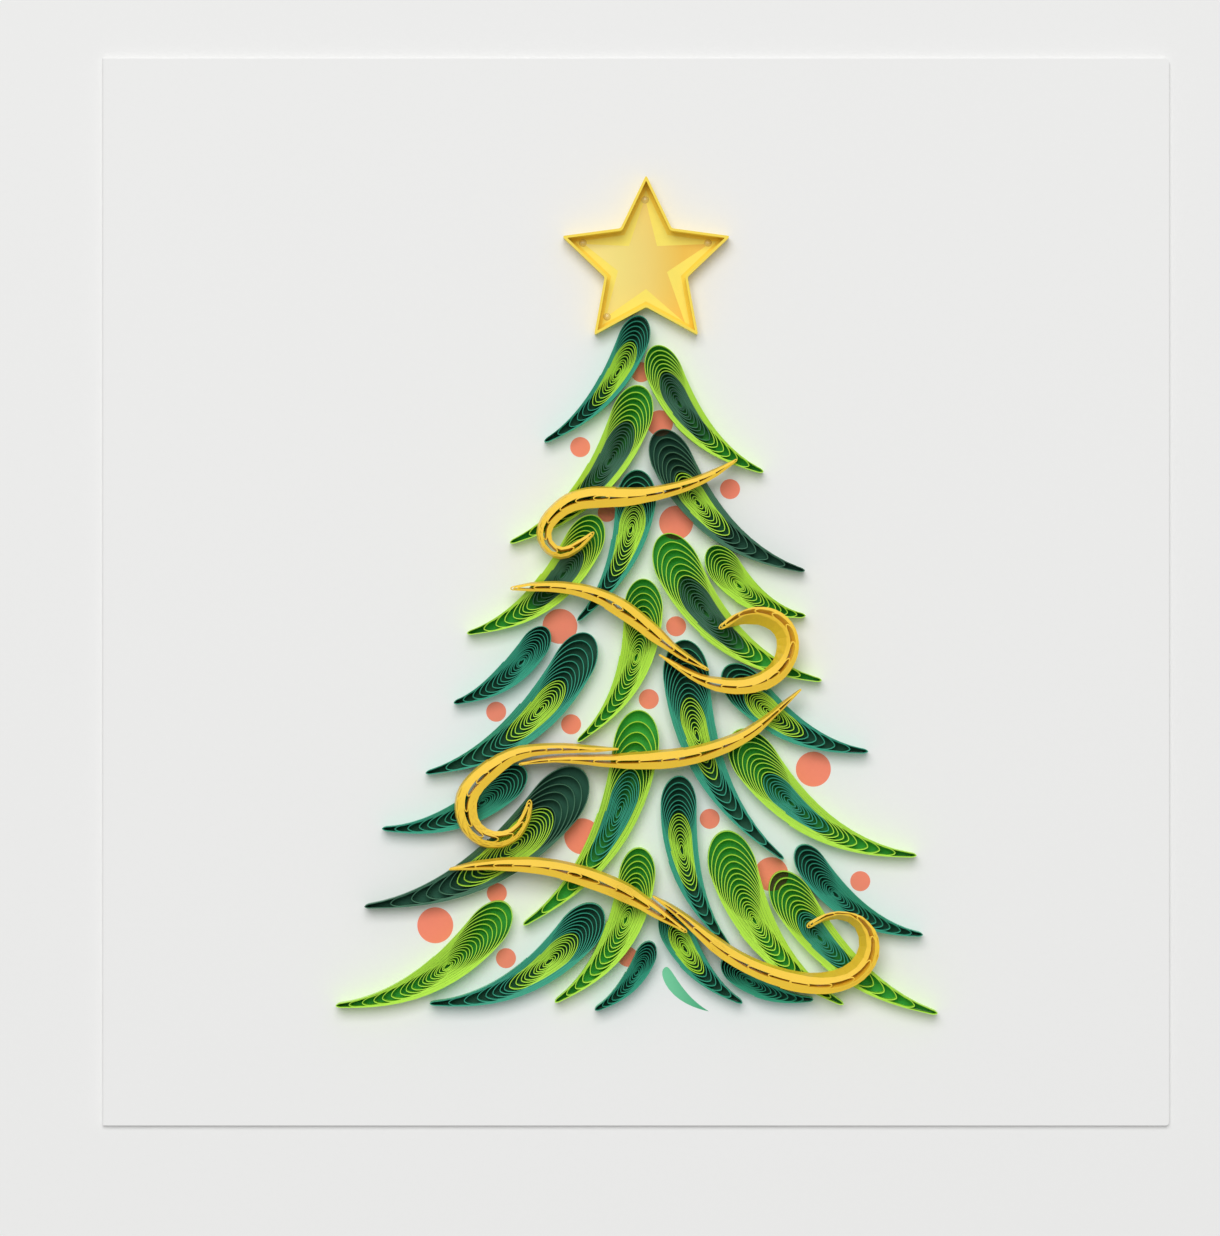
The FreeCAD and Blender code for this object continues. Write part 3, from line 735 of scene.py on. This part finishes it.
class GarlandCoil(Coil):
    """A long coil drawn out into a band, its turns even across the band."""

    tail_aspect = 2.2
    tail_point = 1.0
    head_stations = 10
    tail_stations = 10
    side_stations = 26
    samples_a_mark = 40
    # The fewest turns of a garland, and half the least width of a turn.
    least_turns = 5
    least_half = 0.05
    # What the innermost turn leaves open at the band's widest place.
    open_half = 0.1
    # Where the outer turns start, together at the tips, and how far along the innermost starts.
    together = [0, 0.4, 1.0]
    innermost = 0.47
    # Half the band holds this much less than the turns that reach a place.
    inner_short = 0.3
    # Half the slit along the middle, how much it wavers and how fast, how much a lean opens it,
    # and how far from a tip it is fully open.
    slit = 0.16
    slit_waver = 0.09
    waver_change = 0.5
    slit_lean = 0.14
    slit_reach = 2.5
    # Round a curl the slit is wider: how much, where along the band, and how far either way.
    loop = 0.12
    loop_place = 0.76
    loop_reach = 0.16
    # How far every foot stands aside of its top, and how far from a tip it does so fully.
    foot_lean = 0.3
    foot_reach = 4
    # Where along the band a curl's own lean starts and ends, and over how much of it that
    # lean comes and goes.
    curl_start = 0.5
    curl_rise = 0.15
    curl_end = 0.97
    curl_fall = 0.1

    def __init__(self, name, route, pitch):
        self.route = route
        self.lean = LEANS.get(name, 0)
        self.curled = not name.endswith("stem")
        self.marks = [0]
        for a, b in zip(route, route[1:]):
            self.marks.append(self.marks[-1] + math.dist(a[:2], b[:2]))
        self.slopes = [self.spline_slopes([point[axis] for point in route]) for axis in (0, 1)]
        count = self.samples_a_mark * (len(route) - 1)
        line = [self.spot(self.marks[-1] * i / count) for i in range(count + 1)]
        self.samples = [0]
        for before, after in zip(line, line[1:]):
            self.samples.append(self.samples[-1] + math.dist(before, after))
        self.length = self.samples[-1]
        widest = max(half for x, y, half in route) - self.open_half
        turns = max(self.least_turns, round(widest / pitch))
        self.pitch = widest / turns
        # One paper all along.
        self.change = turns + 1
        others = turns - len(self.together)
        step = (self.innermost * self.length - self.together[-1]) / others
        self.heads = self.together + [self.together[-1] + step * (i + 1) for i in range(others)]
        self.tails = [self.length - head for head in self.heads]

    def head_aspect(self, turn):
        """Both ends of a garland's turn are alike."""
        return self.tail_aspect

    def spline_slopes(self, values):
        """Slopes of the smooth cubic through the values at the marks."""
        n = len(values)
        gaps = [b - a for a, b in zip(self.marks, self.marks[1:])]
        rises = [(b - a) / gap for a, b, gap in zip(values, values[1:], gaps)]
        lower, middle, upper, right = [0] * n, [0] * n, [0] * n, [0] * n
        middle[0], upper[0], right[0] = 2, 1, 3 * rises[0]
        for i in range(1, n - 1):
            lower[i] = gaps[i]
            middle[i] = 2 * (gaps[i - 1] + gaps[i])
            upper[i] = gaps[i - 1]
            right[i] = 3 * (gaps[i] * rises[i - 1] + gaps[i - 1] * rises[i])
        lower[-1], middle[-1], right[-1] = 1, 2, 3 * rises[-1]
        for i in range(1, n):
            factor = lower[i] / middle[i - 1]
            middle[i] -= factor * upper[i - 1]
            right[i] -= factor * right[i - 1]
        slopes = [0] * n
        slopes[-1] = right[-1] / middle[-1]
        for i in range(n - 2, -1, -1):
            slopes[i] = (right[i] - upper[i] * slopes[i + 1]) / middle[i]
        return slopes

    def spot(self, mark):
        """The point of the route at a mark."""
        i, t = stretch(self.marks, mark)
        gap = self.marks[i + 1] - self.marks[i]
        found = []
        for axis in (0, 1):
            a, b = self.route[i][axis], self.route[i + 1][axis]
            m, n = self.slopes[axis][i] * gap, self.slopes[axis][i + 1] * gap
            found.append((2 * t ** 3 - 3 * t ** 2 + 1) * a + (t ** 3 - 2 * t ** 2 + t) * m
                         + (3 * t ** 2 - 2 * t ** 3) * b + (t ** 3 - t ** 2) * n)
        return tuple(found)

    def mark_at(self, down):
        """The mark at a length along the route."""
        i, part = stretch(self.samples, down)
        return self.marks[-1] * (i + part) / (len(self.samples) - 1)

    def tip_distance(self, down):
        """How far the nearer tip is."""
        return max(0, min(down, self.length - down))

    def half_width(self, down):
        """Half the band's width, less what the lean of its foot takes."""
        i, part = stretch(self.marks, self.mark_at(down))
        part = max(0, min(1, part))
        ease = part * part * (3 - 2 * part)
        a, b = self.route[i][2], self.route[i + 1][2]
        return a + (b - a) * ease - abs(self.leaning(down)) / 2

    def offset(self, down, turn):
        """Half the width of a turn, the turns that reach here spread over the half band."""
        reach = self.tip_distance(down)
        here = 1
        while here < len(self.heads) and self.heads[here] < reach:
            here += 1
        before = self.heads[here - 1]
        after = self.heads[here] if here < len(self.heads) else reach + 1
        here += min(1, (reach - before) / (after - before)) - self.inner_short
        loose = self.slit + self.slit_waver * math.sin(self.waver_change * down + self.length)
        if self.curled:
            away = abs(down / self.length - self.loop_place)
            loose += self.loop * max(0, 1 - away / self.loop_reach)
        loose += self.slit_lean * abs(self.leaning(down))
        half = self.half_width(down)
        packed = max(0, half - loose * min(1, reach / self.slit_reach))
        return max(self.least_half, half - packed / here * turn)

    def leaning(self, down):
        """How far the foot stands aside of the top: a little all along, more round a curl."""
        part = down / self.length
        right = 1 if self.route[-1][0] > self.route[0][0] else -1
        curl = max(0, min(1, (part - self.curl_start) / self.curl_rise,
                          (self.curl_end - part) / self.curl_fall))
        all_along = self.foot_lean * min(1, self.tip_distance(down) / self.foot_reach)
        return right * all_along + self.lean * curl

    def foot_shift(self, down):
        """How far the strip's foot stands from its top, in metres."""
        lean = self.leaning(down)
        middle = self.place(down, 0)
        aside = self.place(down, 1)
        return (aside[0] - middle[0]) * lean * MM, (aside[1] - middle[1]) * lean * MM

    def place(self, down, aside):
        """The point on the card this far down the route and this far aside from it."""
        mark = self.mark_at(down)
        small = 0.01
        x, y = self.spot(mark)
        before = self.spot(mark - small)
        after = self.spot(mark + small)
        run = math.dist(before, after)
        along = ((after[0] - before[0]) / run, (after[1] - before[1]) / run)
        aside -= self.leaning(down) / 2
        return x - along[1] * aside, y + along[0] * aside


# Outlines, in metres


def dot_outline(number):
    """The rim of a printed dot."""
    x, y, radius = DOTS[number - 1]
    corners = 48
    return [((x + radius * math.cos(math.tau * k / corners)) * MM,
             (y + radius * math.sin(math.tau * k / corners)) * MM) for k in range(corners)]


def small_leaf_outline():
    """The rim of the small printed leaf, a bowed teardrop."""
    corners = 28
    outline = []
    for k in range(corners):
        angle = math.tau * k / corners
        down = (0.5 - 0.5 * math.cos(angle)) ** 1.25
        half = SMALL_LEAF_HALF * abs(math.sin(angle)) ** 0.9 * (1 - down) ** 0.55
        aside = math.copysign(half, math.sin(angle)) - 4 * SMALL_LEAF_BOW * down * (1 - down)
        x, y = (SMALL_LEAF_HEAD[axis] + SMALL_LEAF_RUN[axis] * down
                + SMALL_LEAF_SIDE[axis] * aside for axis in (0, 1))
        outline.append((x * MM, y * MM))
    return outline


def star_line(inset):
    """Corners of the star strip's outer line, moved inwards."""
    middle = Vector(STAR_MIDDLE) * MM
    corners = []
    for i in range(10):
        radius = (STAR_NOTCH if i % 2 else STAR_TIP) * MM
        turn = math.radians(90 + 36 * i)
        corners.append(Vector((radius * math.cos(turn), radius * math.sin(turn))))
    side = corners[1] - corners[0]
    distance = abs(corners[0].x * corners[1].y - corners[0].y * corners[1].x) / side.length
    return [tuple(middle + corner * (1 - inset / distance)) for corner in corners]


def rounded_star(inset, tip, notch):
    """The star's line, moved inwards, with each tip and notch rounded over a short way."""
    corners = [Vector(corner) for corner in star_line(inset)]
    steps = 6
    rounded = []
    for i, corner in enumerate(corners):
        cut = tip if i % 2 == 0 else notch
        start = corner + (corners[i - 1] - corner).normalized() * cut
        end = corner + (corners[(i + 1) % 10] - corner).normalized() * cut
        for k in range(steps + 1):
            t = k / steps
            rounded.append(tuple(start * (1 - t) ** 2 + corner * 2 * t * (1 - t) + end * t * t))
    return rounded


# Operators, one for each piece or group of like pieces


class CardSheet(bpy.types.Operator):
    """Gives the folded card its white stock"""

    bl_idname = "quilling.card_sheet"
    bl_label = "Card"

    def execute(self, context):
        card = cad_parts["card"]
        card.data.materials.clear()
        card.data.materials.append(card_stock("White card stock", tuple(settings().card)))
        return {"FINISHED"}


class PrintedDots(bpy.types.Operator):
    """Prints the coral dots on the card's front"""

    bl_idname = "quilling.printed_dots"
    bl_label = "Printed dots"

    def execute(self, context):
        coral = ink("Coral ink", tuple(settings().coral))
        for number in range(1, len(DOTS) + 1):
            flat_shape("printed_dot_%02d" % number, dot_outline(number), CARD_TOP, settings().ink,
                       coral)
        return {"FINISHED"}


def overprint(name, number, lift, brown):
    """The part of a dot that a leaf's print covers: a disc cut with the leaf's shape."""
    patch = flat_shape("overprint_" + name, dot_outline(number), CARD_TOP, 3 * lift, brown)
    cutter = flat_shape("cutter", LeafCoil(name).outline(PRINT_INSET), CARD_TOP - lift, 6 * lift,
                        brown)
    cut = patch.modifiers.new("cut", "BOOLEAN")
    cut.operation = "INTERSECT"
    cut.object = cutter
    bpy.context.view_layer.objects.active = patch
    bpy.ops.object.modifier_apply(modifier=cut.name)
    bpy.data.objects.remove(cutter)


class PrintedLeaves(bpy.types.Operator):
    """Prints the green leaf shapes that lie under the quilled leaves, and one that stays bare;
    under leaves wound outside with teal or grey-green paper the green is deeper, as painted shade
    """

    bl_idname = "quilling.printed_leaves"
    bl_label = "Printed leaves"

    def execute(self, context):
        mint = ink("Green ink", tuple(settings().mint), 0.08)
        # The deeper green is painted shade for the gaps of teal and grey-green leaves.
        shaded_green = ink("Deep green ink", linear(PAINTED_SHADE_GREEN), 0.08)
        lift = settings().ink
        for name in LEAF_SIZES:
            outer = LEAF_PAPERS[name][0]
            flat_shape("printed_" + name, LeafCoil(name).outline(PRINT_INSET), CARD_TOP, 2 * lift,
                       mint if outer == "lime" else shaded_green)
        brown = ink("Brown overprint", linear(BROWN), 0.05)
        for name, number in COVERED_DOTS.items():
            overprint(name, number, lift, brown)
        green = graded_ink("Graded mint ink", SMALL_LEAF_GRADES, *SMALL_LEAF_GRADING)
        flat_shape("printed_small_leaf", small_leaf_outline(), CARD_TOP, lift, green)
        return {"FINISHED"}


class PrintedStar(bpy.types.Operator):
    """Prints the yellow star field with its rim, a deeper yellow band of painted shade along the
    strip, and the graded star inside it
    """

    bl_idname = "quilling.printed_star"
    bl_label = "Printed star"

    def execute(self, context):
        lift = settings().ink
        field = ink("Yellow ink", tuple(settings().star_field))
        # The rim is painted shade along the strip's walls.
        rim = ink("Deep yellow ink", linear(STAR_SHADE_YELLOW))
        flat_shape("printed_star_rim", star_line(SHADE_BAND_INSET), CARD_TOP, lift, rim)
        flat_shape("printed_star_field", star_line(FIELD_INSET), CARD_TOP, 2 * lift, field)
        graded = graded_ink("Graded star ink", INNER_STAR_GRADES, STAR_MIDDLE[0],
                            INNER_STAR_WIDTH)
        inner = [(x * MM, y * MM) for x, y in INNER_STAR]
        flat_shape("printed_inner_star", inner, CARD_TOP, 3 * lift, graded)
        return {"FINISHED"}


class StarStrip(bpy.types.Operator):
    """Bends the star's strip round its five tips"""

    bl_idname = "quilling.star_strip"
    bl_label = "Star"

    def execute(self, context):
        outer = rounded_star(0, *OUTER_BENDS)
        inner = rounded_star(settings().star_paper, *INNER_BENDS)
        stations = [(outside, inside, CARD_TOP, LEAF_TOP, LEAF_TOP, 0, (0, 0))
                    for outside, inside in zip(outer + outer[:1], inner + inner[:1])]
        star = strip_on_edge("star_strip", stations, paper("lemon"), closed=True)
        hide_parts("star")
        return {"FINISHED"}


class GlueDrops(bpy.types.Operator):
    """Sets the small drops of dried glue in the star's tips"""

    bl_idname = "quilling.glue_drops"
    bl_label = "Glue drops"

    def execute(self, context):
        glue = dried_glue("Dried craft glue")
        for number, (x, y) in enumerate(GLUE_DROPS, 1):
            deselect()
            bpy.ops.mesh.primitive_uv_sphere_add(segments=24, ring_count=12,
                                                 radius=DROP_RADIUS * MM,
                                                 location=(x * MM, y * MM, CARD_TOP))
            drop = bpy.context.object
            drop.scale = (1, 1, DROP_FLATNESS)
            bpy.ops.object.mode_set(mode="EDIT")
            bpy.ops.mesh.select_all(action="SELECT")
            bpy.ops.mesh.bisect(plane_co=(0, 0, CARD_TOP), plane_no=(0, 0, 1), clear_inner=True,
                                use_fill=True)
            finished(drop, "glue_drop_%d" % number, [glue])
            bpy.ops.object.shade_smooth()
        return {"FINISHED"}


class LeafCoils(bpy.types.Operator):
    """Winds the quilled leaves"""

    bl_idname = "quilling.leaf_coils"
    bl_label = "Leaf coils"

    def execute(self, context):
        bowl = settings().bowl
        for name in LEAF_SIZES:
            coil = LeafCoil(name)
            outer, inner = LEAF_PAPERS[name][:2]

            def slant(share, turns=coil.turns):
                drop = bowl * max(0, share)
                return drop, drop + bowl / turns

            thick = min(settings().paper / MM, THICKEST * coil.pitch)
            stations = coil.stations(CARD_TOP, LEAF_TOP, slant, thick)
            piece = strip_on_edge("coil_" + name, stations, paper(outer) + paper(inner))
            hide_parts(name)
        return {"FINISHED"}


class GarlandCoils(bpy.types.Operator):
    """Winds the golden garlands"""

    bl_idname = "quilling.garland_coils"
    bl_label = "Garland coils"

    def execute(self, context):
        crown = settings().crown
        for name, route in GARLANDS.items():
            coil = GarlandCoil(name, route, settings().pitch / MM)

            def slant(share, turns=len(coil.heads)):
                drop = crown * (1 - min(1, max(0, share)))
                return drop + crown / turns, drop

            stations = coil.stations(GARLAND_FOOT, GARLAND_TOP, slant, coil.pitch)
            piece = strip_on_edge("coil_" + name, stations, paper("yellow"))
            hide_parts(name)
        return {"FINISHED"}


# The photograph: its size and the place over the card's middle in pixels, and a pixel's size.
PHOTO_SIZE = (1220, 1236)
PHOTO_MIDDLE = (635.5, 592)
PHOTO_PIXEL = 152.4 / 1067 * MM

# The stage, in metres: the table just below the card, the lamp above the card's top end, and the
# camera straight above.
TABLE_SIZE = 6
TABLE_GAP = 0.02 * MM
LAMP_PLACE = (-0.3, 1.3, 3.2)
LAMP_SIZE = (2.2, 2.0)
CAMERA_HEIGHT = 0.8
FILM_WIDTH = 36
BACKGROUND = 0.84


def light_room():
    """Lights the card evenly from all round, and shows the camera a pale background."""
    world = bpy.data.worlds.new("Even pale room")
    bpy.context.scene.world = world
    world.use_nodes = True
    tree = world.node_tree
    tree.nodes.clear()
    path = add_node(tree, "ShaderNodeLightPath")
    seen = add_node(tree, "ShaderNodeMath", operation="MAXIMUM")
    tree.links.new(seen.inputs[0], path.outputs["Is Camera Ray"])
    tree.links.new(seen.inputs[1], path.outputs["Is Transmission Ray"])
    even = add_node(tree, "ShaderNodeBackground", Color=(1, 1, 1, 1), Strength=settings().fill)
    pale = add_node(tree, "ShaderNodeBackground", Color=(BACKGROUND,) * 3 + (1,), Strength=1.0)
    mixed = add_node(tree, "ShaderNodeMixShader", [("Fac", seen.outputs["Value"])])
    tree.links.new(mixed.inputs[1], even.outputs["Background"])
    tree.links.new(mixed.inputs[2], pale.outputs["Background"])
    add_node(tree, "ShaderNodeOutputWorld", [("Surface", mixed.outputs["Shader"])])


def hang_lamp():
    """Hangs the soft key lamp, turned to the card."""
    lamp = bpy.data.lights.new("key_softbox", "AREA")
    lamp.shape = "RECTANGLE"
    lamp.size, lamp.size_y = LAMP_SIZE
    lamp.energy = settings().key_power
    lamp.color = (1, 1, 1)
    key = bpy.data.objects.new("key_softbox", lamp)
    bpy.context.scene.collection.objects.link(key)
    key.location = LAMP_PLACE
    key.rotation_mode = "QUATERNION"
    key.rotation_quaternion = (-Vector(LAMP_PLACE)).to_track_quat("-Z", "Y")


def set_camera():
    """Sets the camera straight above, so that the card lies in its view as in the photograph."""
    camera = bpy.data.cameras.new("camera")
    view = bpy.data.objects.new("camera", camera)
    bpy.context.scene.collection.objects.link(view)
    view.location = ((PHOTO_SIZE[0] / 2 - PHOTO_MIDDLE[0]) * PHOTO_PIXEL,
                     (PHOTO_MIDDLE[1] - PHOTO_SIZE[1] / 2) * PHOTO_PIXEL,
                     CARD_TOP + CAMERA_HEIGHT)
    view.rotation_euler = (0, 0, 0)
    camera.sensor_width = FILM_WIDTH
    camera.sensor_fit = "AUTO"
    camera.lens = FILM_WIDTH * CAMERA_HEIGHT / (PHOTO_SIZE[1] * PHOTO_PIXEL)
    camera.clip_start = 0.01
    bpy.context.scene.camera = view


class Stage(bpy.types.Operator):
    """Lays the card on a pale table, with soft light from behind and the camera above"""

    bl_idname = "quilling.stage"
    bl_label = "Stage"

    def execute(self, context):
        deselect()
        bpy.ops.mesh.primitive_plane_add(size=TABLE_SIZE, location=(0, 0, 0))
        floor = bpy.context.object
        floor.name = "table"
        floor.location.z = -TABLE_GAP
        floor.data.materials.append(card_stock("Pale table", linear("F1F1F0")))
        light_room()
        hang_lamp()
        set_camera()
        bpy.context.scene.view_settings.view_transform = "Standard"
        return {"FINISHED"}


STEPS = (CardSheet, PrintedDots, PrintedLeaves, PrintedStar, StarStrip, GlueDrops, LeafCoils,
         GarlandCoils, Stage)


class QuillingPanel(bpy.types.Panel):
    """Lists the card's sizes, colours and pieces in the sidebar"""

    bl_idname = "VIEW3D_PT_quilling"
    bl_label = "Quilled card"
    bl_space_type = "VIEW_3D"
    bl_region_type = "UI"
    bl_category = "Quilling"

    def draw(self, context):
        for word in QuillingSettings.__annotations__:
            self.layout.prop(context.scene.quilling, word)
        for step in STEPS:
            self.layout.operator(step.bl_idname)


def register():
    for one in (QuillingSettings, *STEPS, QuillingPanel):
        bpy.utils.register_class(one)
    bpy.types.Scene.quilling = PointerProperty(type=QuillingSettings)


def unregister():
    del bpy.types.Scene.quilling
    for one in reversed((QuillingSettings, *STEPS, QuillingPanel)):
        bpy.utils.unregister_class(one)


def main():
    register()
    bpy.ops.quilling.card_sheet()
    bpy.ops.quilling.printed_dots()
    bpy.ops.quilling.printed_leaves()
    bpy.ops.quilling.printed_star()
    bpy.ops.quilling.star_strip()
    bpy.ops.quilling.glue_drops()
    bpy.ops.quilling.leaf_coils()
    bpy.ops.quilling.garland_coils()
    bpy.ops.quilling.stage()
    bpy.context.view_layer.update()


if __name__ == "__main__":
    main()
